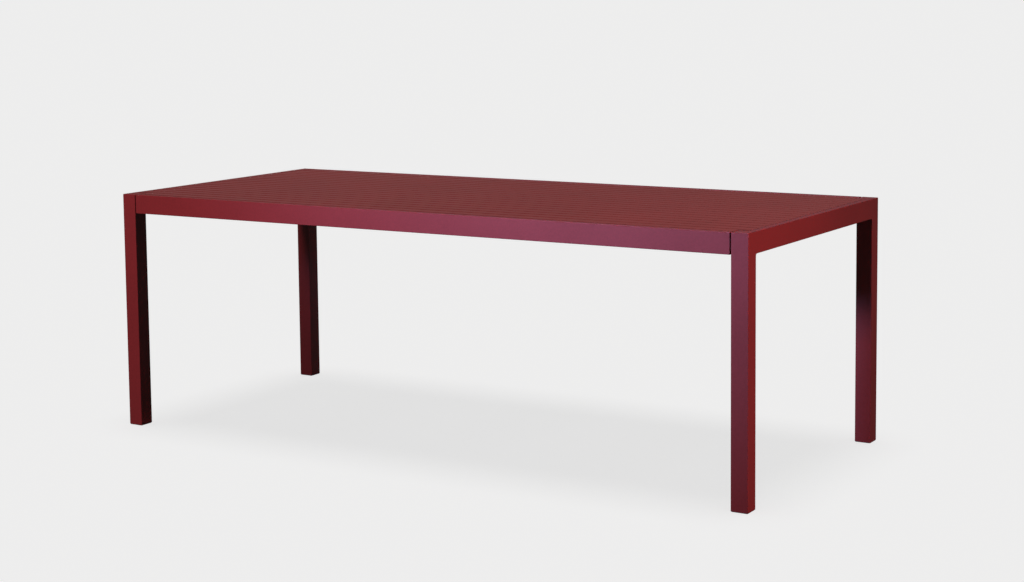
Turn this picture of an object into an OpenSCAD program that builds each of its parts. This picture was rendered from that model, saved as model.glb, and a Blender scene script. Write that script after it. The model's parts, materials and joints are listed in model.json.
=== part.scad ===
// Outdoor dining table with a slatted top.
// The origin is on the floor at the centre: X runs along the table, Y across it, Z up.

/* [Table] */
// Length over the two end rails
table_l = 2180; // [1400:10:3000]
// Width over the two side rails
table_w = 950; // [800:10:1050]
// Height of the top above the floor
table_h = 750; // [650:5:900]

/* [Legs] */
// Side of the square leg tube
leg_s = 50; // [44:1:80]
// Wall of the leg tube
leg_wall = 3; // [2:0.5:4]
// Outer corner radius of the leg and rail tubes
tube_r = 2; // [1:0.5:2]
// Thickness of the plate that closes the top of a leg
leg_cap_t = 3; // [2.5:0.5:6]

/* [Rails] */
// Height of the end rails and side rails
rail_h = 60; // [54:1:90]
// Thickness of the end rails and side rails
rail_t = 20; // [17:1:30]
// Wall of the rail tube
rail_wall = 2.5; // [2:0.5:3.5]
// Shadow gap between the end of a side rail and the leg
reveal = 4; // [2:0.5:8]
// Radius of the weld fillet in the inner corner under an end rail
fillet_r = 7; // [3:0.5:12]

/* [Corner joints] */
// Thickness of the tongue that joins a leg to a side rail
tongue_t = 8; // [6:0.5:10]
// Length of the tongue inside the side rail
tongue_l = 70; // [64:1:120]
// Thread diameter of the corner bolts
bolt_d = 8; // [6:1:10]
// Head diameter of the corner bolts
bolt_head_d = 14; // [12:1:18]
// Head height of the corner bolts
bolt_head_h = 4.4; // [3:0.2:6]
// Distance from the end of the side rail to the first corner bolt
bolt_edge = 18; // [12:1:24]
// Distance between the two bolts of a corner
bolt_pitch = 32; // [22:1:36]

/* [Slats] */
// Width of a slat
slat_w = 40; // [36:1:60]
// Height of a slat
slat_t = 20; // [14:1:26]
// Wall of a slat
slat_wall = 1.5; // [1:0.25:2.5]
// Outer corner radius of a slat
slat_r = 2; // [0.5:0.25:3]
// Smallest gap allowed between slats
slat_gap_min = 7; // [5:0.5:12]
// Gap between the end of a slat and the end rail
slat_end_gap = 1.5; // [1.2:0.1:5]
// Thickness of the flange of a slat plug
plug_flange_t = 1; // [0.6:0.1:1.2]
// Distance of that flange from the faces of the slat
plug_inset = 0.5; // [0.2:0.1:1]
// Length of a plug inside the slat
plug_l = 14; // [8:1:16]

/* [Under the top] */
// Number of cross bearers
bearer_n = 3; // [2:1:4]
// Width of a bearer
bearer_w = 40; // [30:1:60]
// Height of a bearer
bearer_h = 25; // [20:1:30]
// Wall of a bearer
bearer_wall = 2.5; // [2:0.5:4]
// Width of the end plates that carry the bearers
end_plate_w = 84; // [78:1:110]
// Thickness of the end plates
end_plate_t = 4; // [3:0.5:8]
// Distance between the two screws of an end plate
end_plate_pitch = 62; // [54:1:68]
// Width of the ledge under the slat ends
ledge_w = 30; // [28:1:45]
// Height of the ledge on the end rail
ledge_h = 25; // [20:1:32]
// Wall of the ledge
ledge_wall = 3; // [2:0.5:4]
// Distance from the end of a ledge to the leg
ledge_end_gap = 2; // [1:0.5:3]
// Number of screws that hold a ledge
ledge_screw_n = 6; // [3:1:10]
// Distance from the end of a ledge to its first screw
ledge_screw_edge = 30; // [15:1:60]

/* [Screws] */
// Shank diameter of the slat screws
slat_screw_d = 4.2; // [3:0.1:5]
// Head diameter of the slat screws
slat_screw_head_d = 8; // [6:0.5:10]
// Head height of the slat screws
slat_screw_head_h = 2.4; // [1.6:0.2:4]
// Length of a slat screw above the inside of the slat wall
slat_screw_tip = 4; // [1:0.5:8]
// Distance from the end of a slat to its ledge screw
slat_screw_edge = 21; // [20:0.5:22]
// Shank diameter of the frame screws
frame_screw_d = 6; // [4:0.5:8]
// Head diameter of the frame screws
frame_screw_head_d = 11; // [9:0.5:13]
// Head height of the frame screws
frame_screw_head_h = 3.4; // [2:0.2:5]
// Length of a frame screw inside the rail
frame_screw_tip = 5; // [1:0.5:8]

/* [Feet] */
// Thickness of the plastic sole under the leg tube
foot_sole_t = 1.5; // [1:0.5:4]
// Distance of the sole from the faces of the leg
foot_inset = 1.5; // [0.5:0.5:2.5]
// Height of the foot plug inside the leg
foot_plug_h = 24; // [20:1:40]
// Diameter of the levelling pad
pad_d = 30; // [24:1:32]
// Thickness of the levelling pad
pad_t = 6; // [5:0.5:7]
// Chamfer round the sole of the pad
pad_chamfer = 1; // [0.5:0.25:2]
// Height of the pad's sole above the floor when it is screwed fully in
pad_recess = 0.4; // [0.2:0.1:1]
// Travel of the levelling pad
pad_travel = 12; // [6:1:20]
// Thread diameter of the levelling stud
stud_d = 10; // [8:1:12]
// Width of the hexagon socket in the pad
socket_af = 6; // [4:0.5:8]
// Depth of the hexagon socket
socket_depth = 4; // [2:0.5:4.5]
// Width across the flats of the foot nut
nut_af = 17; // [15:1:20]
// Height of the foot nut
nut_h = 8; // [6:0.5:10]

/* [Fits] */
// Play of a piece that slides into another
slide_play = 0.3; // [0.1:0.05:0.5]
// Radial play of a screw or bolt in its hole
hole_play = 0.2; // [0.1:0.05:0.5]
// Radial play of the levelling stud in its nut
thread_play = 0.05; // [0.02:0.01:0.1]
// Radial play of the levelling pad in its pocket
pad_play = 0.6; // [0.3:0.1:1]

/* [Hidden] */
$fn = 48;
HEX = 6;
TWO_DIGITS = 10;
CUT = 1; // how far a cutting shape runs past what it cuts

coat_colour = [0.47, 0.15, 0.17];
steel_colour = [0.72, 0.73, 0.75];
plastic_colour = [0.10, 0.10, 0.11];

half_l = table_l / 2;
half_w = table_w / 2;
rail_mid_z = table_h - rail_h / 2;
rail_low_z = table_h - rail_h;
rail_in_x = half_l - rail_t;
rail_in_y = half_w - rail_t;
leg_in_x = half_l - leg_s;
leg_in_y = half_w - leg_s;
side_rail_l = 2 * (leg_in_x - reveal);

slat_field = 2 * rail_in_y;
slat_n = floor((slat_field - slat_gap_min) / (slat_w + slat_gap_min));
slat_gap = (slat_field - slat_n * slat_w) / (slat_n + 1);
slat_l = 2 * (rail_in_x - slat_end_gap);
slat_low_z = table_h - slat_t;
slat_inner_w = slat_w - 2 * slat_wall;
slat_inner_t = slat_t - 2 * slat_wall;
notch_x = leg_in_x - reveal;
notch_y = leg_in_y - reveal;

tongue_h = rail_h - 2 * rail_wall - 2 * slide_play;
tongue_y = rail_in_y + rail_wall + slide_play;
bolt_l = rail_wall + slide_play + tongue_t;

bearer_l = 2 * (rail_in_y - end_plate_t);
bearer_low_z = slat_low_z - bearer_h;
frame_screw_z = slat_low_z - bearer_h / 2;
ledge_l = 2 * (leg_in_y - ledge_end_gap);
ledge_screw_z = slat_low_z - (ledge_wall + ledge_h) / 2;
slat_screw_x = slat_l / 2 - slat_screw_edge;

leg_inner = leg_s - 2 * leg_wall;
foot_top_z = foot_sole_t + foot_plug_h;
pad_top_z = pad_recess + pad_t;
stud_top_z = foot_top_z + pad_travel + CUT;
pocket_top_z = pad_top_z + slide_play;

// Each corner: its name and its side along X and along Y
CORNERS = [
    ["front_left", -1, -1],
    ["front_right", 1, -1],
    ["back_left", -1, 1],
    ["back_right", 1, 1]
];
ENDS = [["left", -1], ["right", 1]];
SIDES = [["front", -1], ["back", 1]];

function slat_name(i) = str("slat_", i < TWO_DIGITS ? "0" : "", i);
function bearer_name(i) = str("bearer_", i);
function slat_y(i) = -slat_field / 2 + slat_gap + slat_w / 2 + (i - 1) * (slat_w + slat_gap);
function bearer_x(i) = -rail_in_x + i * 2 * rail_in_x / (bearer_n + 1);
function slat_notched(i) = abs(slat_y(i)) + slat_w / 2 > notch_y;
function ledge_screw_y(k) =
    -ledge_l / 2 + ledge_screw_edge
    + k * (ledge_l - 2 * ledge_screw_edge) / (ledge_screw_n - 1);

// Placing

module at_corner(c)
    mirror([c[1] < 0 ? 1 : 0, 0, 0])
    mirror([0, c[2] < 0 ? 1 : 0, 0])
    children();

module at_end(e)
    mirror([e[1] < 0 ? 1 : 0, 0, 0])
    children();

module at_side(s)
    mirror([0, s[1] < 0 ? 1 : 0, 0])
    children();

// A flat shape drawn in X and Z, made long in Y
module along_y(l)
    rotate([90, 0, 0])
    linear_extrude(l, center = true)
    children();

// A flat shape drawn in Y and Z, made long in X
module along_x(l)
    rotate([90, 0, 90])
    linear_extrude(l, center = true)
    children();

// Sections

module rounded(w, h, r) {
    square([w - 2 * r, h], center = true);
    square([w, h - 2 * r], center = true);
    for (x = [-1, 1])
        for (y = [-1, 1])
            translate([x * (w / 2 - r), y * (h / 2 - r)])
                circle(r);
}

module leg_outline()
    translate([half_l - leg_s / 2, half_w - leg_s / 2])
    rounded(leg_s, leg_s, tube_r);

module leg_column()
    linear_extrude(table_h + CUT)
    leg_outline();

module rail_section()
    difference() {
        rounded(rail_t, rail_h, tube_r);
        square([rail_t - 2 * rail_wall, rail_h - 2 * rail_wall], center = true);
    }

// Screw with its head on the origin's plane, the head below and the shank above
module screw(d, head_d, head_h, l) {
    cylinder(h = l, d = d);
    translate([0, 0, -head_h])
        cylinder(h = head_h, d = head_d);
}

module screw_hole(d, l)
    translate([0, 0, -CUT])
    cylinder(h = l + 2 * CUT, d = d + 2 * hole_play);

// End frames

module leg(c)
    color(coat_colour)
    at_corner(c)
    translate([0, 0, foot_sole_t])
    linear_extrude(table_h - leg_cap_t - foot_sole_t)
    difference() {
        leg_outline();
        translate([half_l - leg_s / 2, half_w - leg_s / 2])
            square(leg_inner, center = true);
    }

// The plate's top edges are rounded on the outer faces and at the shadow gap
module leg_cap(c)
    color(coat_colour)
    at_corner(c)
    intersection() {
        translate([0, 0, table_h - leg_cap_t])
            linear_extrude(leg_cap_t)
            leg_outline();
        translate([half_l - leg_s / 2, half_w - leg_s / 2, table_h - leg_s / 2])
            along_y(leg_s)
            rounded(leg_s, leg_s, tube_r);
        translate([half_l - leg_s / 2, half_w - leg_s, table_h - leg_s / 2])
            along_x(leg_s)
            rounded(2 * leg_s, leg_s, tube_r);
    }

module rail_screw_hole()
    rotate([0, 90, 0])
    screw_hole(frame_screw_d, rail_wall);

// The ends run on into the rounded edge of each leg, so that the outer face has no groove
module end_rail(e)
    color(coat_colour)
    at_end(e)
    difference() {
        translate([half_l - rail_t / 2, 0, rail_mid_z])
            along_y(2 * (leg_in_y + tube_r))
            rail_section();
        for (s = SIDES)
            at_side(s)
                leg_column();
        for (k = [0:ledge_screw_n - 1])
            translate([rail_in_x, ledge_screw_y(k), ledge_screw_z])
                rail_screw_hole();
    }

module corner_weld()
    difference() {
        translate([rail_in_x, leg_in_y - fillet_r, rail_low_z - fillet_r])
            cube([rail_t, fillet_r + tube_r, fillet_r + tube_r]);
        translate([rail_in_x - CUT, leg_in_y - fillet_r, rail_low_z - fillet_r])
            rotate([0, 90, 0])
            cylinder(h = rail_t + 2 * CUT, r = fillet_r);
        leg_column();
        translate([half_l - rail_t / 2, 0, rail_mid_z])
            along_y(table_w)
            rounded(rail_t, rail_h, tube_r);
    }

module end_welds(e)
    color(coat_colour)
    at_end(e)
    for (s = SIDES)
        at_side(s)
            corner_weld();

// Side rails and their joints

module at_corner_bolts()
    for (k = [0:1])
        translate([leg_in_x - reveal - bolt_edge - k * bolt_pitch, rail_in_y, rail_mid_z])
            rotate([-90, 0, 0])
            children();

module joining_tongue(c)
    color(coat_colour)
    at_corner(c)
    difference() {
        translate([leg_in_x - reveal - tongue_l, tongue_y, rail_mid_z - tongue_h / 2])
            cube([tongue_l + reveal, tongue_t, tongue_h]);
        at_corner_bolts()
            screw_hole(bolt_d, bolt_l);
    }

module corner_bolts()
    color(steel_colour)
    for (c = CORNERS)
        at_corner(c)
            at_corner_bolts()
            screw(bolt_d, bolt_head_d, bolt_head_h, bolt_l);

module side_rail(s)
    color(coat_colour)
    at_side(s)
    difference() {
        translate([0, half_w - rail_t / 2, rail_mid_z])
            along_x(side_rail_l)
            rail_section();
        for (e = ENDS)
            at_end(e)
                at_corner_bolts()
                screw_hole(bolt_d, rail_wall);
        at_plate_screws(rail_in_y)
            screw_hole(frame_screw_d, rail_wall);
    }

// Slats

// The space that the outer slats leave round the legs
module leg_notch()
    translate([notch_x, notch_y, slat_low_z - CUT])
    cube([leg_s, leg_s + slat_w, slat_t + 2 * CUT]);

module all_notches()
    for (c = CORNERS)
        at_corner(c)
            leg_notch();

module slat_screw_holes(i) {
    for (b = [1:bearer_n])
        translate([bearer_x(b), slat_y(i), slat_low_z])
            screw_hole(slat_screw_d, slat_wall);
    if (!slat_notched(i))
        for (x = [-slat_screw_x, slat_screw_x])
            translate([x, slat_y(i), slat_low_z])
                screw_hole(slat_screw_d, slat_wall);
}

module slat(i)
    color(coat_colour)
    difference() {
        translate([0, slat_y(i), slat_low_z + slat_t / 2])
            along_x(slat_l)
            difference() {
                rounded(slat_w, slat_t, slat_r);
                square([slat_inner_w, slat_inner_t], center = true);
            }
        slat_screw_holes(i);
        if (slat_notched(i))
            all_notches();
    }

// In an outer slat the plug also closes the side of the cut-out
module slat_plug(i) {
    body_l = slat_notched(i) ? slat_l / 2 - notch_x + plug_l : plug_l;
    difference() {
        translate([slat_l / 2, slat_y(i), slat_low_z + slat_t / 2]) {
            translate([-body_l / 2, 0, 0])
                cube([body_l, slat_inner_w - slide_play, slat_inner_t - slide_play], center = true);
            translate([plug_flange_t / 2, 0, 0])
                along_x(plug_flange_t)
                square([slat_w - 2 * plug_inset, slat_t - 2 * plug_inset], center = true);
        }
        if (slat_notched(i))
            all_notches();
    }
}

module slat_plugs(e)
    color(plastic_colour)
    at_end(e)
    for (i = [1:slat_n])
        slat_plug(i);

// Under the top

module bearer(b)
    color(coat_colour)
    difference() {
        translate([bearer_x(b), 0, slat_low_z - bearer_h / 2])
            along_y(bearer_l)
            difference() {
                square([bearer_w, bearer_h], center = true);
                translate([0, -bearer_wall])
                    square([bearer_w - 2 * bearer_wall, bearer_h], center = true);
            }
        for (i = [1:slat_n])
            translate([bearer_x(b), slat_y(i), slat_low_z - bearer_wall])
                screw_hole(slat_screw_d, bearer_wall);
    }

// The screws of the end plates on one side rail, with their heads on the plane at y
module at_plate_screws(y)
    for (b = [1:bearer_n])
        for (k = [-1, 1])
            translate([bearer_x(b) + k * end_plate_pitch / 2, y, frame_screw_z])
                rotate([-90, 0, 0])
                children();

module bearer_end_plates()
    color(coat_colour)
    for (s = SIDES)
        at_side(s)
            difference() {
                for (b = [1:bearer_n])
                    translate([bearer_x(b) - end_plate_w / 2, rail_in_y - end_plate_t, bearer_low_z])
                        cube([end_plate_w, end_plate_t, bearer_h]);
                at_plate_screws(rail_in_y - end_plate_t)
                    screw_hole(frame_screw_d, end_plate_t);
            }

module ledge(e)
    color(coat_colour)
    at_end(e)
    difference() {
        translate([rail_in_x, 0, slat_low_z])
            along_y(ledge_l)
            polygon([
                [0, 0],
                [-ledge_w, 0],
                [-ledge_w, -ledge_wall],
                [-ledge_wall, -ledge_wall],
                [-ledge_wall, -ledge_h],
                [0, -ledge_h]
            ]);
        for (i = [1:slat_n])
            if (!slat_notched(i))
                translate([slat_screw_x, slat_y(i), slat_low_z - ledge_wall])
                    screw_hole(slat_screw_d, ledge_wall);
        for (k = [0:ledge_screw_n - 1])
            translate([rail_in_x - ledge_wall, ledge_screw_y(k), ledge_screw_z])
                rotate([0, 90, 0])
                screw_hole(frame_screw_d, ledge_wall);
    }

module slat_screw(wall)
    translate([0, 0, -wall])
    screw(slat_screw_d, slat_screw_head_d, slat_screw_head_h, wall + slat_wall + slat_screw_tip);

module slat_screws()
    color(steel_colour)
    for (i = [1:slat_n]) {
        for (b = [1:bearer_n])
            translate([bearer_x(b), slat_y(i), slat_low_z])
                slat_screw(bearer_wall);
        if (!slat_notched(i))
            for (x = [-slat_screw_x, slat_screw_x])
                translate([x, slat_y(i), slat_low_z])
                    slat_screw(ledge_wall);
    }

module frame_screw(wall)
    screw(frame_screw_d, frame_screw_head_d, frame_screw_head_h, wall + rail_wall + frame_screw_tip);

module frame_screws()
    color(steel_colour) {
        for (s = SIDES)
            at_side(s)
                at_plate_screws(rail_in_y - end_plate_t)
                frame_screw(end_plate_t);
        for (e = ENDS)
            at_end(e)
                for (k = [0:ledge_screw_n - 1])
                    translate([rail_in_x - ledge_wall, ledge_screw_y(k), ledge_screw_z])
                        rotate([0, 90, 0])
                        frame_screw(ledge_wall);
    }

// Feet

module at_leg_axis(c)
    at_corner(c)
    translate([half_l - leg_s / 2, half_w - leg_s / 2, 0])
    children();

module hexagon(af, h)
    cylinder(h = h, d = af / cos(180 / HEX), $fn = HEX);

module foot_plug(c)
    color(plastic_colour)
    at_leg_axis(c)
    difference() {
        union() {
            linear_extrude(foot_sole_t)
                rounded(leg_s - 2 * foot_inset, leg_s - 2 * foot_inset, tube_r);
            linear_extrude(foot_top_z)
                square(leg_inner - slide_play, center = true);
        }
        translate([0, 0, -CUT])
            cylinder(h = pocket_top_z + CUT, d = pad_d + 2 * pad_play);
        cylinder(h = foot_top_z + CUT, d = stud_d + 2 * pad_play);
        translate([0, 0, foot_top_z - nut_h])
            hexagon(nut_af + slide_play, nut_h + CUT);
    }

module foot_nuts()
    color(steel_colour)
    for (c = CORNERS)
        at_leg_axis(c)
            translate([0, 0, foot_top_z - nut_h])
            difference() {
                hexagon(nut_af, nut_h);
                translate([0, 0, -CUT])
                    cylinder(h = nut_h + 2 * CUT, d = stud_d + 2 * thread_play);
            }

module levelling_foot(c)
    color(plastic_colour)
    at_leg_axis(c)
    translate([0, 0, pad_recess])
    difference() {
        rotate_extrude()
            polygon([
                [0, 0],
                [pad_d / 2 - pad_chamfer, 0],
                [pad_d / 2, pad_chamfer],
                [pad_d / 2, pad_t],
                [stud_d / 2, pad_t],
                [stud_d / 2, stud_top_z - pad_recess],
                [0, stud_top_z - pad_recess]
            ]);
        translate([0, 0, -CUT])
            hexagon(socket_af, socket_depth + CUT);
    }

for (c = CORNERS) {
    leg(c);
    leg_cap(c);
    joining_tongue(c);
    foot_plug(c);
    levelling_foot(c);
}
for (e = ENDS) {
    end_rail(e);
    end_welds(e);
    slat_plugs(e);
    ledge(e);
}
for (s = SIDES)
    side_rail(s);
for (i = [1:slat_n])
    slat(i);
for (b = [1:bearer_n])
    bearer(b);
corner_bolts();
bearer_end_plates();
slat_screws();
frame_screws();
foot_nuts();
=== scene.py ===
# Slatted outdoor dining table: rounded edges, powder coat, steel screws and nylon feet
import json
import math

import bmesh
import bpy
from mathutils import Matrix, Vector


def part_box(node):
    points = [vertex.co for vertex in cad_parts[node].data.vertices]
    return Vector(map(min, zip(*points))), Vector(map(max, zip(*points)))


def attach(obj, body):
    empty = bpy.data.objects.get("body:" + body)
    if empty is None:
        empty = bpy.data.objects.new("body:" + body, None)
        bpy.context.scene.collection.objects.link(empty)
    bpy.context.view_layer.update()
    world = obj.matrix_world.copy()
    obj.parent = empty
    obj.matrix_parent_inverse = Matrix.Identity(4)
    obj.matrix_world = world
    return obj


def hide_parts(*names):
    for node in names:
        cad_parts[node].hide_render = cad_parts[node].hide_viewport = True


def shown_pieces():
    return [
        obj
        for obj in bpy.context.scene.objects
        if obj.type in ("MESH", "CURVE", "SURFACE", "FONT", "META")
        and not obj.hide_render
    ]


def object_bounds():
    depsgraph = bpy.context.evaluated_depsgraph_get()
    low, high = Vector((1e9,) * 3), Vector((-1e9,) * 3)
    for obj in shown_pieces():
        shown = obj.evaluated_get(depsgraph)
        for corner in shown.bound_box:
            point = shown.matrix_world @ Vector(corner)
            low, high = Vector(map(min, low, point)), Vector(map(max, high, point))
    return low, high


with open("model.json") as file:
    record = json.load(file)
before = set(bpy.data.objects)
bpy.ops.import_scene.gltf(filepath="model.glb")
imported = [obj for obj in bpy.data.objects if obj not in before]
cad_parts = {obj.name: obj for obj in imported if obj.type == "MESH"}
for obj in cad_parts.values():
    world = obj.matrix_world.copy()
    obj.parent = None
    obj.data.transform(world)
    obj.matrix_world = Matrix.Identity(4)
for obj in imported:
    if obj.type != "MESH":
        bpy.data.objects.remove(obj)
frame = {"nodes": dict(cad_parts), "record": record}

cadLow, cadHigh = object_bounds()
mm = 0.001
closeBy = mm / 10  # nearer than this counts as the same height or depth
onPlane = mm / 100  # and nearer than this as on a plane
parallel = 0.99  # part of a unit vector above which it counts as along an axis
upright = 0.01  # and below which it counts as square to it
print("stage: frame loaded,", len(frame["nodes"]), "nodes")


# Camera

cameraSetup = {
    "place": (3.132, -5.002, 1.394),  # in front of the table, to its right
    "yaw": -31.392,  # degrees, 0 looks along +Y
    "pitch": 5.765,  # degrees downwards
    "roll": -0.590,
    "lens": 66.96,
    "shiftY": -0.1084,
}


def addCamera():
    data = bpy.data.cameras.new("camera")
    data.lens = cameraSetup["lens"]
    data.shift_y = cameraSetup["shiftY"]
    data.dof.use_dof = False
    camera = bpy.data.objects.new("camera", data)
    bpy.context.scene.collection.objects.link(camera)
    turn = Matrix.Rotation(math.radians(-cameraSetup["yaw"]), 4, "Z")
    tilt = Matrix.Rotation(math.radians(90 - cameraSetup["pitch"]), 4, "X")
    roll = Matrix.Rotation(math.radians(cameraSetup["roll"]), 4, "Z")
    camera.matrix_world = Matrix.Translation(cameraSetup["place"]) @ turn @ tilt @ roll
    bpy.context.scene.camera = camera


addCamera()


# Finishes

powderCoat = {
    "colour": (0.236, 0.0178, 0.0172),
    "darker": (0.178, 0.0135, 0.0130),
    "roughness": (0.385, 0.455),
    "specular": 0.5,
    "grain": 900,  # waves of the fine sand texture in a metre
    "grainDepth": 0.05 * mm,
    "peel": 230,  # waves of the soft orange peel under it
    "peelDepth": 0.06 * mm,
    "cloud": 5,  # waves of the slow change of shade
    "peelShade": 0.65,  # how much of the shade follows the peel
    "cloudShade": 0.35,  # and how much the slow change
    "detail": 2,
    "cloudDetail": 3,
}
stainlessSteel = {
    "colour": (0.60, 0.60, 0.61),
    "roughness": (0.24, 0.38),
    "turning": 2600,  # waves of the fine tool marks in a metre
    "turningDepth": 0.01 * mm,
    "detail": 2,
}
blackNylon = {
    "colour": (0.013, 0.013, 0.014),
    "roughness": (0.48, 0.62),
    "grain": 1600,
    "grainDepth": 0.03 * mm,
    "detail": 2,
}
noiseRange = (0.3, 0.7)  # most values of a noise lie between these


def newMaterial(name):
    material = bpy.data.materials.new(name)
    material.use_nodes = True
    return material, material.node_tree, material.node_tree.nodes["Principled BSDF"]


def objectNoise(tree, scale, detail):
    place = tree.nodes.new("ShaderNodeTexCoord")
    noise = tree.nodes.new("ShaderNodeTexNoise")
    noise.inputs["Scale"].default_value = scale
    noise.inputs["Detail"].default_value = detail
    tree.links.new(place.outputs["Object"], noise.inputs["Vector"])
    return noise.outputs["Fac"]


def rangeOf(tree, value, low, high):
    ranged = tree.nodes.new("ShaderNodeMapRange")
    ranged.inputs["From Min"].default_value = noiseRange[0]
    ranged.inputs["From Max"].default_value = noiseRange[1]
    ranged.inputs["To Min"].default_value = low
    ranged.inputs["To Max"].default_value = high
    tree.links.new(value, ranged.inputs["Value"])
    return ranged.outputs["Result"]


def mixedColour(tree, share, first, second):
    ramp = tree.nodes.new("ShaderNodeValToRGB")
    ramp.color_ramp.elements[0].color = (*first, 1)
    ramp.color_ramp.elements[1].color = (*second, 1)
    tree.links.new(share, ramp.inputs["Fac"])
    return ramp.outputs["Color"]


def addBump(tree, height, depth, under=None):
    bump = tree.nodes.new("ShaderNodeBump")
    bump.inputs["Strength"].default_value = 1
    bump.inputs["Distance"].default_value = depth
    tree.links.new(height, bump.inputs["Height"])
    if under:
        tree.links.new(under, bump.inputs["Normal"])
    return bump.outputs["Normal"]


def makePowderCoat():
    material, tree, shader = newMaterial("winePowderCoat")
    grain = objectNoise(tree, powderCoat["grain"], powderCoat["detail"])
    peel = objectNoise(tree, powderCoat["peel"], powderCoat["detail"])
    cloud = objectNoise(tree, powderCoat["cloud"], powderCoat["cloudDetail"])
    both = tree.nodes.new("ShaderNodeMath")
    both.operation = "ADD"
    tree.links.new(rangeOf(tree, peel, 0, powderCoat["peelShade"]), both.inputs[0])
    tree.links.new(rangeOf(tree, cloud, 0, powderCoat["cloudShade"]), both.inputs[1])
    colour = mixedColour(tree, both.outputs[0], powderCoat["darker"], powderCoat["colour"])
    tree.links.new(colour, shader.inputs["Base Color"])
    tree.links.new(rangeOf(tree, peel, *powderCoat["roughness"]), shader.inputs["Roughness"])
    shader.inputs["Specular IOR Level"].default_value = powderCoat["specular"]
    softPeel = addBump(tree, peel, powderCoat["peelDepth"])
    sandy = addBump(tree, grain, powderCoat["grainDepth"], softPeel)
    tree.links.new(sandy, shader.inputs["Normal"])
    return material


def makeStainlessSteel():
    material, tree, shader = newMaterial("stainlessSteel")
    turning = objectNoise(tree, stainlessSteel["turning"], stainlessSteel["detail"])
    shader.inputs["Base Color"].default_value = (*stainlessSteel["colour"], 1)
    shader.inputs["Metallic"].default_value = 1
    tree.links.new(rangeOf(tree, turning, *stainlessSteel["roughness"]), shader.inputs["Roughness"])
    marks = addBump(tree, turning, stainlessSteel["turningDepth"])
    tree.links.new(marks, shader.inputs["Normal"])
    return material


def makeBlackNylon():
    material, tree, shader = newMaterial("blackNylon")
    grain = objectNoise(tree, blackNylon["grain"], blackNylon["detail"])
    shader.inputs["Base Color"].default_value = (*blackNylon["colour"], 1)
    tree.links.new(rangeOf(tree, grain, *blackNylon["roughness"]), shader.inputs["Roughness"])
    tree.links.new(addBump(tree, grain, blackNylon["grainDepth"]), shader.inputs["Normal"])
    return material


finishes = {
    "powder_coat": makePowderCoat(),
    "stainless_steel": makeStainlessSteel(),
    "black_nylon": makeBlackNylon(),
}
print("stage: finishes made")


# Tools for the pieces

edgeAngles = {
    "corner": 60,  # degrees, above which an edge is rounded
    "smooth": 40,  # degrees, up to which faces shade as one
    "flat": 0.5,  # degrees, up to which faces are joined into one
}
roundSteps = 4
rimSteps = 2


def addBox(bm, low, high):
    place = Matrix.Translation((low + high) / 2) @ Matrix.Diagonal((*(high - low), 1))
    bmesh.ops.create_cube(bm, size=1, matrix=place)


def numberedNodes(stem):
    return sorted(n for n in frame["nodes"] if n.startswith(stem) and n[len(stem):].isdigit())


# The box of each separate solid in a CAD node, such as each screw of a group
def solidBoxes(node):
    samePoint = mm / 1000
    copy = bmesh.new()
    copy.from_mesh(frame["nodes"][node].data)
    bmesh.ops.remove_doubles(copy, verts=copy.verts, dist=samePoint)
    boxes = []
    seen = set()
    for start in copy.verts:
        if start in seen:
            continue
        seen.add(start)
        solid = [start]
        for vert in solid:
            near = [e.other_vert(vert) for e in vert.link_edges]
            near = [v for v in near if v not in seen]
            seen.update(near)
            solid.extend(near)
        low = Vector([min(v.co[axis] for v in solid) for axis in range(3)])
        high = Vector([max(v.co[axis] for v in solid) for axis in range(3)])
        boxes.append((low, high))
    copy.free()
    return boxes


def edgesAlong(bm, axis):
    directions = {e: (e.verts[1].co - e.verts[0].co).normalized() for e in bm.edges}
    return [e for e, direction in directions.items() if abs(direction[axis]) > parallel]


def roundEdges(bm, edges, radius, steps=roundSteps):
    bmesh.ops.bevel(
        bm, geom=edges, offset=radius, offset_type="OFFSET", segments=steps,
        profile=0.5, affect="EDGES", material=-1, clamp_overlap=True,
    )


def sharpEdges(bm):
    corner = math.radians(edgeAngles["corner"])
    return [e for e in bm.edges if e.is_manifold and e.calc_face_angle_signed() > corner]


def extrudeBy(bm, faces, move):
    pulled = bmesh.ops.extrude_face_region(bm, geom=faces)["geom"]
    verts = [v for v in pulled if isinstance(v, bmesh.types.BMVert)]
    bmesh.ops.translate(bm, verts=verts, vec=move)


def cutThrough(bm, place, normal):
    everything = bm.verts[:] + bm.edges[:] + bm.faces[:]
    bmesh.ops.bisect_plane(bm, geom=everything, dist=onPlane, plane_co=place, plane_no=normal)


def finishPiece(name, bm, slotName, nodes, body="table"):
    bmesh.ops.recalc_face_normals(bm, faces=bm.faces)
    mesh = bpy.data.meshes.new(name)
    bm.to_mesh(mesh)
    bm.free()
    mesh.materials.append(finishes[slotName])
    mesh.shade_smooth()
    mesh.set_sharp_from_angle(angle=math.radians(edgeAngles["smooth"]))
    piece = bpy.data.objects.new(name, mesh)
    bpy.context.scene.collection.objects.link(piece)
    evened = piece.modifiers.new("evenNormals", "WEIGHTED_NORMAL")
    evened.keep_sharp = True
    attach(piece, body)
    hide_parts(*nodes)
    return piece


# End frames: two legs and the rail between them, welded and ground to one skin

endFrame = {
    "edge": 1.5 * mm,  # radius of the tubes' long edges
    "rim": 0.4 * mm,  # radius at the cut foot of a leg
    "wall": 3 * mm,
    "hollow": 60 * mm,  # how far up the leg the open tube is modelled
    "weldReach": 25 * mm,  # from the leg along the rail, where its lower edge isn't rounded
    "filletSteps": 8,
}


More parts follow.
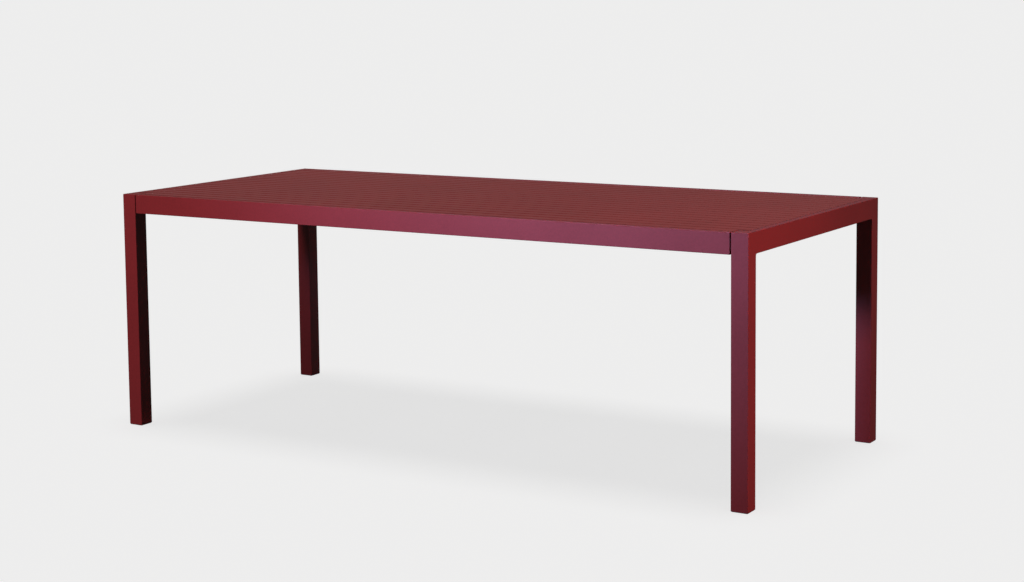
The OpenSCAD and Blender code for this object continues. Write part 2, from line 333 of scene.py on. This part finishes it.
def makeEndFrame(end):
    legLow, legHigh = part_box(f"leg_back_{end}")
    railLow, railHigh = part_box(f"end_rail_{end}")
    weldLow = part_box(f"end_welds_{end}")[0]
    top = railHigh.z
    foot = legLow.z
    legIn, legOut = legLow.y, legHigh.y
    fillet = railLow.z - weldLow.z
    railInX = min(abs(railLow.x), abs(railHigh.x))
    legInX = min(abs(legLow.x), abs(legHigh.x))
    outX = cadHigh.x

    # The outline of the whole frame, on the inner face of the rail
    bm = bmesh.new()
    outline = (
        (-legOut, foot), (-legIn, foot), (-legIn, railLow.z), (legIn, railLow.z),
        (legIn, foot), (legOut, foot), (legOut, top), (-legOut, top),
    )
    bm.faces.new([bm.verts.new((railInX, y, z)) for y, z in outline])
    inner = [v for v in bm.verts if abs(v.co.z - railLow.z) < closeBy]
    bmesh.ops.bevel(
        bm, geom=inner, offset=fillet, offset_type="OFFSET", segments=endFrame["filletSteps"],
        profile=0.5, affect="VERTICES", material=-1,
    )
    for y in (-legIn, legIn):
        cutThrough(bm, (0, y, 0), (0, 1, 0))

    def onInnerFace(face):
        return abs(face.calc_center_median().x - railInX) < closeBy

    def inLeg(face):
        return abs(face.calc_center_median().y) > legIn

    # The rail's thickness outwards, then the rest of the legs inwards
    extrudeBy(bm, bm.faces[:], (outX - railInX, 0, 0))
    bmesh.ops.recalc_face_normals(bm, faces=bm.faces)
    legFaces = [f for f in bm.faces if onInnerFace(f) and inLeg(f)]
    extrudeBy(bm, legFaces, (legInX - railInX, 0, 0))
    inside = [f for f in legFaces if f.is_valid and onInnerFace(f)]
    bmesh.ops.delete(bm, geom=inside, context="FACES_ONLY")
    flat = math.radians(edgeAngles["flat"])
    bmesh.ops.dissolve_limit(bm, angle_limit=flat, verts=bm.verts, edges=bm.edges)
    bmesh.ops.recalc_face_normals(bm, faces=bm.faces)

    # The open foot of each tube
    downFaces = [f for f in bm.faces if f.normal.z < -parallel]
    soles = [f for f in downFaces if abs(f.calc_center_median().z - foot) < closeBy]
    bmesh.ops.inset_individual(bm, faces=soles, thickness=endFrame["wall"], use_even_offset=True)
    extrudeBy(bm, soles, (0, 0, endFrame["hollow"]))
    soles = [f for f in soles if f.is_valid and f.calc_center_median().z < foot + mm]
    bmesh.ops.delete(bm, geom=soles, context="FACES_ONLY")

    # The rail's lower inner edge is rounded up to where its weld begins
    weldStart = legIn - endFrame["weldReach"]
    for y in (-weldStart, weldStart):
        cutThrough(bm, (0, y, 0), (0, 1, 0))

    def atWeld(edge):
        middle = (edge.verts[0].co + edge.verts[1].co) / 2
        onRail = abs(middle.x - railInX) < closeBy
        return onRail and abs(middle.y) > weldStart and middle.z < top - mm

    outer = [
        e for e in sharpEdges(bm)
        if max(v.co.z for v in e.verts) > foot + endFrame["hollow"] + mm and not atWeld(e)
    ]
    roundEdges(bm, outer, endFrame["edge"])
    rims = [e for e in sharpEdges(bm) if all(abs(v.co.z - foot) < onPlane for v in e.verts)]
    roundEdges(bm, rims, endFrame["rim"], rimSteps)
    if end == "left":
        bmesh.ops.scale(bm, vec=(-1, 1, 1), verts=bm.verts)
    nodes = [f"{kind}_{depth}_{end}" for kind in ("leg", "leg_cap") for depth in ("front", "back")]
    nodes += [f"end_rail_{end}", f"end_welds_{end}"]
    finishPiece(f"endFrame_{end}", bm, "powder_coat", nodes)


for end in ("left", "right"):
    makeEndFrame(end)
print("stage: end frames made")


# Side rails and slats: extruded tubes with rounded long edges

sideRail = {"edge": 2 * mm, "wall": 1.9 * mm}
slatTube = {"edge": 2 * mm, "wall": 1.5 * mm, "gapAtLeg": 4 * mm}


def makeTube(name, settings, cutAt=None):
    bm = bmesh.new()
    addBox(bm, *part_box(name))
    ends = [f for f in bm.faces if abs(f.normal.x) > parallel]
    bmesh.ops.delete(bm, geom=ends, context="FACES")
    roundEdges(bm, edgesAlong(bm, 0), settings["edge"])
    if cutAt:
        cutCorners(bm, *cutAt)
    bmesh.ops.recalc_face_normals(bm, faces=bm.faces)
    bmesh.ops.solidify(bm, geom=bm.faces[:], thickness=settings["wall"])
    finishPiece(f"{name}_tube", bm, "powder_coat", [name])


def cutCorners(bm, cutX, cutY):
    cuts = (((cutX, 0, 0), (1, 0, 0)), ((-cutX, 0, 0), (1, 0, 0)), ((0, cutY, 0), (0, 1, 0)))
    for place, normal in cuts:
        cutThrough(bm, place, normal)
    gone = [
        f for f in bm.faces
        if abs(f.calc_center_median().x) > cutX and abs(f.calc_center_median().y) > abs(cutY)
    ]
    bmesh.ops.delete(bm, geom=gone, context="FACES")


for name in ("side_rail_front", "side_rail_back"):
    makeTube(name, sideRail)

slatNames = numberedNodes("slat_")
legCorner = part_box("leg_back_right")[0]  # the corner that points to the middle of the table
cutX = legCorner.x - slatTube["gapAtLeg"]
cutY = legCorner.y - slatTube["gapAtLeg"]
for name in slatNames:
    low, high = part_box(name)
    if max(abs(low.y), abs(high.y)) > legCorner.y:
        makeTube(name, slatTube, (cutX, math.copysign(cutY, low.y)))
    else:
        makeTube(name, slatTube)
print("stage:", len(slatNames), "slats made")


# Under the top: channels, their end plates and the angles that carry the slat ends

channel = {"edge": 2.5 * mm, "wall": 2.4 * mm}
plate = {"corner": 3 * mm, "edge": 0.6 * mm}
angleBar = {"wall": 3 * mm, "edge": 0.6 * mm, "root": 2 * mm}


def makeChannel(name):
    bm = bmesh.new()
    addBox(bm, *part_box(name))
    openSides = [f for f in bm.faces if f.normal.z < -parallel or abs(f.normal.y) > parallel]
    bmesh.ops.delete(bm, geom=openSides, context="FACES")
    upper = [e for e in edgesAlong(bm, 1) if e.is_manifold]
    roundEdges(bm, upper, channel["edge"])
    bmesh.ops.recalc_face_normals(bm, faces=bm.faces)
    bmesh.ops.solidify(bm, geom=bm.faces[:], thickness=channel["wall"])
    finishPiece(f"{name}_channel", bm, "powder_coat", [name])


for name in numberedNodes("bearer_"):
    makeChannel(name)
print("stage: bearers made")


def makeEndPlates():
    bm = bmesh.new()
    for low, high in solidBoxes("bearer_end_plates"):
        addBox(bm, low, high)
    roundEdges(bm, edgesAlong(bm, 1), plate["corner"])
    roundEdges(bm, sharpEdges(bm), plate["edge"], rimSteps)
    finishPiece("bearerEndPlates", bm, "powder_coat", ["bearer_end_plates"])


def makeAngleBar(end):
    low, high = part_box(f"ledge_{end}")
    wall = angleBar["wall"]
    bm = bmesh.new()
    # The section of the right-hand bar, drawn at the front end and pulled to the back
    inX, outX = sorted((abs(low.x), abs(high.x)))
    section = (
        (outX, high.z), (inX, high.z), (inX, high.z - wall),
        (outX - wall, high.z - wall), (outX - wall, low.z), (outX, low.z),
    )
    bm.faces.new([bm.verts.new((x, low.y, z)) for x, z in section])
    extrudeBy(bm, bm.faces[:], (0, high.y - low.y, 0))
    bmesh.ops.recalc_face_normals(bm, faces=bm.faces)
    hollow = -math.radians(edgeAngles["corner"])
    root = [e for e in bm.edges if e.calc_face_angle_signed() < hollow]
    roundEdges(bm, root, angleBar["root"])
    roundEdges(bm, sharpEdges(bm), angleBar["edge"], rimSteps)
    if end == "left":
        bmesh.ops.scale(bm, vec=(-1, 1, 1), verts=bm.verts)
    finishPiece(f"ledge_{end}_angle", bm, "powder_coat", [f"ledge_{end}"])


makeEndPlates()
for end in ("left", "right"):
    makeAngleBar(end)
print("stage: end plates and ledges made")


# Screws with a domed head and a hexagon socket, one where each CAD screw is

slatScrew = {"head": 2.4 * mm, "shank": 2.1 * mm, "socket": 2.5 * mm, "segments": 12}
frameScrew = {"head": 3.4 * mm, "shank": 3.0 * mm, "socket": 4.0 * mm, "segments": 18}
cornerBolt = {"head": 4.4 * mm, "shank": 4.0 * mm, "socket": 5.0 * mm, "segments": 24}
domedHead = {
    "socketFloor": 0.45,  # heights over the seat, as shares of the head's height
    "shoulderHeight": 0.74,
    "rimHeight": 0.36,
    "flat": 0.58,  # radii, as shares of the head's
    "shoulder": 0.86,
    "tip": 0.4,  # radius of the shank's end, as a share of the shank's
}
hexagon = 6


def hexagonRadius(acrossFlats):
    return acrossFlats / 2 / math.cos(math.pi / hexagon)


def addRing(bm, place, radius, height, segments):
    at = place @ Matrix.Translation((0, 0, height))
    made = bmesh.ops.create_circle(bm, cap_ends=False, radius=radius, segments=segments, matrix=at)
    return made["verts"]


# Each side of the ring with fewer corners meets the same number of sides of the other
def joinRings(bm, first, second):
    fewer, more = sorted((first, second), key=len)
    step = len(more) // len(fewer)
    for count, corner in enumerate(fewer):
        nextCorner = fewer[(count + 1) % len(fewer)]
        arc = [more[(count * step + along) % len(more)] for along in range(step + 1)]
        bm.faces.new([nextCorner, corner] + arc)


# Rings of (radius, height, segments) joined into one closed skin
def addTurned(bm, place, rings):
    made = [addRing(bm, place, *ring) for ring in rings]
    for first, second in zip(made, made[1:]):
        joinRings(bm, first, second)
    for ends in (made[0], made[-1]):
        bm.faces.new(ends)


def addScrew(bm, low, high, settings):
    size = high - low
    axis = max(range(3), key=lambda i: size[i])
    radius = min(size) / 2
    # The shank points up, or outwards where the screw lies flat
    tipwards = Vector((0, 0, 0))
    tipwards[axis] = 1 if axis == 2 else math.copysign(1, low[axis])
    head, shank, around = settings["head"], settings["shank"], settings["segments"]
    length = size[axis] - head
    seat = (low + high) / 2 - tipwards * (size[axis] / 2 - head)
    place = Matrix.Translation(seat) @ tipwards.to_track_quat("Z", "X").to_matrix().to_4x4()
    key = hexagonRadius(settings["socket"])
    dome = domedHead
    addTurned(bm, place, (
        (key, -dome["socketFloor"] * head, hexagon),
        (key, -head, hexagon),
        (dome["flat"] * radius, -head, around),
        (dome["shoulder"] * radius, -dome["shoulderHeight"] * head, around),
        (radius, -dome["rimHeight"] * head, around),
        (radius, 0, around),
        (shank, 0, around),
        (shank, length - shank, around),
        (dome["tip"] * shank, length, around),
    ))


fasteners = {"slat_screws": slatScrew, "frame_screws": frameScrew, "corner_bolts": cornerBolt}
for node, settings in fasteners.items():
    bm = bmesh.new()
    for low, high in solidBoxes(node):
        addScrew(bm, low, high, settings)
    finishPiece(f"{node}_turned", bm, "stainless_steel", [node])
    print("stage:", node, "made")


# Levelling feet: a nylon pad with grip grooves on a threaded steel stud

corners = ("front_left", "front_right", "back_left", "back_right")
levellingFoot = {
    "stud": 5 * mm,  # outer radius of the thread
    "root": 4.2 * mm,
    "pitch": 1.5 * mm,
    "pad": 6 * mm,
    "chamfer": 1 * mm,
    "edge": 0.5 * mm,
    "socket": 6 * mm,
    "socketDepth": 4 * mm,
    "segments": 48,
    "groove": 0.3 * mm,
    "rimFrom": 0.9,  # share of the radius from which a face is on the pad's rim
}


def makeLevellingFoot(corner):
    low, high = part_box(f"levelling_foot_{corner}")
    foot = levellingFoot
    radius = (high.x - low.x) / 2
    place = Matrix.Translation(((low.x + high.x) / 2, (low.y + high.y) / 2, low.z))
    key = hexagonRadius(foot["socket"])
    around = foot["segments"]
    bm = bmesh.new()
    addTurned(bm, place, (
        (key, foot["socketDepth"], hexagon),
        (key, 0, hexagon),
        (radius - foot["chamfer"], 0, around),
        (radius, foot["chamfer"], around),
        (radius, foot["pad"] - foot["edge"], around),
        (radius - foot["edge"], foot["pad"], around),
        (foot["root"], foot["pad"], around),
    ))
    bmesh.ops.recalc_face_normals(bm, faces=bm.faces)

    def fromAxis(face):
        return (face.calc_center_median() - place.translation).xy

    rimFrom = foot["rimFrom"] * radius
    rim = [f for f in bm.faces if abs(f.normal.z) < upright and fromAxis(f).length > rimFrom]
    rim.sort(key=lambda f: math.atan2(*fromAxis(f)))
    bmesh.ops.inset_individual(bm, faces=rim[::2], thickness=foot["groove"], depth=-foot["groove"])
    # The thread is a row of ridges from the pad to the stud's tip
    turns = int((high.z - low.z - foot["pad"]) / foot["pitch"])
    roundStud = around // 2
    ridges = []
    for turn in range(turns):
        height = foot["pad"] + turn * foot["pitch"]
        ridges.append((foot["root"], height, roundStud))
        ridges.append((foot["stud"], height + foot["pitch"] / 2, roundStud))
    ridges.append((foot["root"], high.z - low.z, roundStud))
    padFaces = set(bm.faces)
    addTurned(bm, place, ridges)
    for face in bm.faces:
        face.material_index = 0 if face in padFaces else 1
    name = f"levelling_foot_{corner}"
    piece = finishPiece(f"{name}_turned", bm, "black_nylon", [name], body=name)
    piece.data.materials.append(finishes["stainless_steel"])


for corner in corners:
    makeLevellingFoot(corner)
print("stage: levelling feet made")


# Floor and light

paleGround = {
    "size": 6000,
    "albedo": 0.33,
    "glow": 0.737,  # what is added to the lit floor to make it pale
    "horizon": 0.847,  # the sky behind it, of the same shade
    "bounce": 0.35,  # share of the lit floor that lights the table
    "mirrored": 0.06,  # share of the glow that gloss, metal and glass show
    "mirroredSky": 0.15,
    "fill": 0.012,  # plain light from all round
}
topSun = {"strength": 1.05, "angle": 26, "colour": (1.0, 0.99, 0.98)}
slatSun = {"strength": 1.18, "angle": 26, "colour": (0.90, 1.0, 1.0)}  # on the slats alone
sunPlace = (0, 0, 4)  # only marks it, both suns shine straight down
softboxes = {
    "frontSoftbox": {
        "place": (0.90, -4.04, 1.80), "aim": (0.58, -0.475, 1.29), "size": 0.45, "spread": 42.1,
        "power": 62.0, "colour": (0.102, 0.51, 1.0), "onSlats": False,
    },
    "rightSoftbox": {
        "place": (4.93, 0.18, 2.21), "aim": (1.09, -0.77, 0.58), "size": 0.8, "spread": 52.9,
        "power": 15.9, "colour": (1.0, 0.57, 0.62), "onSlats": True,
    },
    "frontFill": {
        "place": (-1.09, -4.12, 2.00), "aim": (-0.36, -0.475, 1.00), "size": 0.5, "spread": 84.8,
        "power": 42.5, "colour": (0.72, 0.78, 0.99), "onSlats": False,
    },
    "backFill": {
        "place": (-3.2, 3.9, 1.8), "aim": (0, 0, 0.6), "size": 1.8, "spread": 180,
        "power": 120, "colour": (1.0, 0.97, 0.94), "onSlats": True,
    },
}


# 1 for camera rays, a share of it for glossy and transmitted ones, 0 for light on the table
def seenShare(tree, mirroredShare):
    path = tree.nodes.new("ShaderNodeLightPath")
    mirrored = tree.nodes.new("ShaderNodeMath")
    mirrored.operation = "MAXIMUM"
    share = tree.nodes.new("ShaderNodeMath")
    share.operation = "MULTIPLY"
    share.inputs[1].default_value = mirroredShare
    seen = tree.nodes.new("ShaderNodeMath")
    seen.operation = "MAXIMUM"
    tree.links.new(path.outputs["Is Glossy Ray"], mirrored.inputs[0])
    tree.links.new(path.outputs["Is Transmission Ray"], mirrored.inputs[1])
    tree.links.new(mirrored.outputs[0], share.inputs[0])
    tree.links.new(path.outputs["Is Camera Ray"], seen.inputs[0])
    tree.links.new(share.outputs[0], seen.inputs[1])
    return seen.outputs[0]


def scaled(tree, value, factor, plus=0):
    made = tree.nodes.new("ShaderNodeMath")
    made.operation = "MULTIPLY_ADD"
    made.inputs[1].default_value = factor
    made.inputs[2].default_value = plus
    tree.links.new(value, made.inputs[0])
    return made.outputs[0]


def makeFloor():
    bm = bmesh.new()
    bmesh.ops.create_grid(bm, x_segments=1, y_segments=1, size=paleGround["size"] / 2)
    mesh = bpy.data.meshes.new("floor")
    bm.to_mesh(mesh)
    bm.free()
    material = bpy.data.materials.new("paleFloor")
    material.use_nodes = True
    tree = material.node_tree
    tree.nodes.clear()
    matt = tree.nodes.new("ShaderNodeBsdfDiffuse")
    glow = tree.nodes.new("ShaderNodeEmission")
    both = tree.nodes.new("ShaderNodeAddShader")
    out = tree.nodes.new("ShaderNodeOutputMaterial")
    path = tree.nodes.new("ShaderNodeLightPath")
    least = paleGround["albedo"] * paleGround["bounce"]
    albedo = scaled(tree, path.outputs["Is Camera Ray"], paleGround["albedo"] - least, least)
    tree.links.new(albedo, matt.inputs["Color"])
    glowLevel = scaled(tree, seenShare(tree, paleGround["mirrored"]), paleGround["glow"])
    tree.links.new(glowLevel, glow.inputs["Strength"])
    tree.links.new(matt.outputs[0], both.inputs[0])
    tree.links.new(glow.outputs[0], both.inputs[1])
    tree.links.new(both.outputs[0], out.inputs["Surface"])
    mesh.materials.append(material)
    floor = bpy.data.objects.new("floor", mesh)
    bpy.context.scene.collection.objects.link(floor)


def makeWorld():
    world = bpy.data.worlds.new("studio")
    world.use_nodes = True
    tree = world.node_tree
    seen = seenShare(tree, paleGround["mirroredSky"])
    level = scaled(tree, seen, paleGround["horizon"] - paleGround["fill"], paleGround["fill"])
    tree.nodes["Background"].inputs["Color"].default_value = (1, 1, 1, 1)
    tree.links.new(level, tree.nodes["Background"].inputs["Strength"])
    bpy.context.scene.world = world


def addSun(name, setup, litPieces=None):
    data = bpy.data.lights.new(name, "SUN")
    data.energy = setup["strength"]
    data.angle = math.radians(setup["angle"])
    data.color = setup["colour"]
    sun = bpy.data.objects.new(name, data)
    sun.location = sunPlace
    sun.light_linking.receiver_collection = litPieces
    bpy.context.scene.collection.objects.link(sun)


def addSoftbox(name, setup, litPieces):
    data = bpy.data.lights.new(name, "AREA")
    data.shape = "SQUARE"
    data.size = setup["size"]
    data.spread = math.radians(setup["spread"])
    data.energy = setup["power"]
    data.color = setup["colour"]
    lamp = bpy.data.objects.new(name, data)
    place = Vector(setup["place"])
    turn = (Vector(setup["aim"]) - place).to_track_quat("-Z", "Y")
    lamp.matrix_world = Matrix.Translation(place) @ turn.to_matrix().to_4x4()
    lamp.visible_camera = False
    lamp.visible_glossy = False
    lamp.light_linking.receiver_collection = litPieces
    bpy.context.scene.collection.objects.link(lamp)


def groupOf(name, pieces):
    group = bpy.data.collections.new(name)
    for piece in pieces:
        group.objects.link(piece)
    return group


# The softboxes light the table only, so that the floor stays even, and have no mirror image,
# which would whiten the frame's top from behind. The front ones stay off the slats, whose gaps
# would be lit as bright as their tops
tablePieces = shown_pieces()
slatTubes = [f"{name}_tube" for name in slatNames]
slatPieces = [piece for piece in tablePieces if piece.name in slatTubes]
framePieces = [piece for piece in tablePieces if piece not in slatPieces]
wholeTable = groupOf("wholeTable", tablePieces)
frameOnly = groupOf("frameOnly", framePieces)
slatsOnly = groupOf("slatsOnly", slatPieces)
makeFloor()
makeWorld()
addSun("topSun", topSun)
addSun("slatSun", slatSun, slatsOnly)
for name, setup in softboxes.items():
    addSoftbox(name, setup, wholeTable if setup["onSlats"] else frameOnly)
bpy.context.scene.view_settings.view_transform = "Standard"
print("stage: floor and light made")


# The nodes that keep their own shape get the finish of their slot

slotOf = {part["node"]: part["material_slot"] for part in frame["record"]["subparts"]}
for name, node in frame["nodes"].items():
    node.data.materials.clear()
    node.data.materials.append(finishes[slotOf[name]])
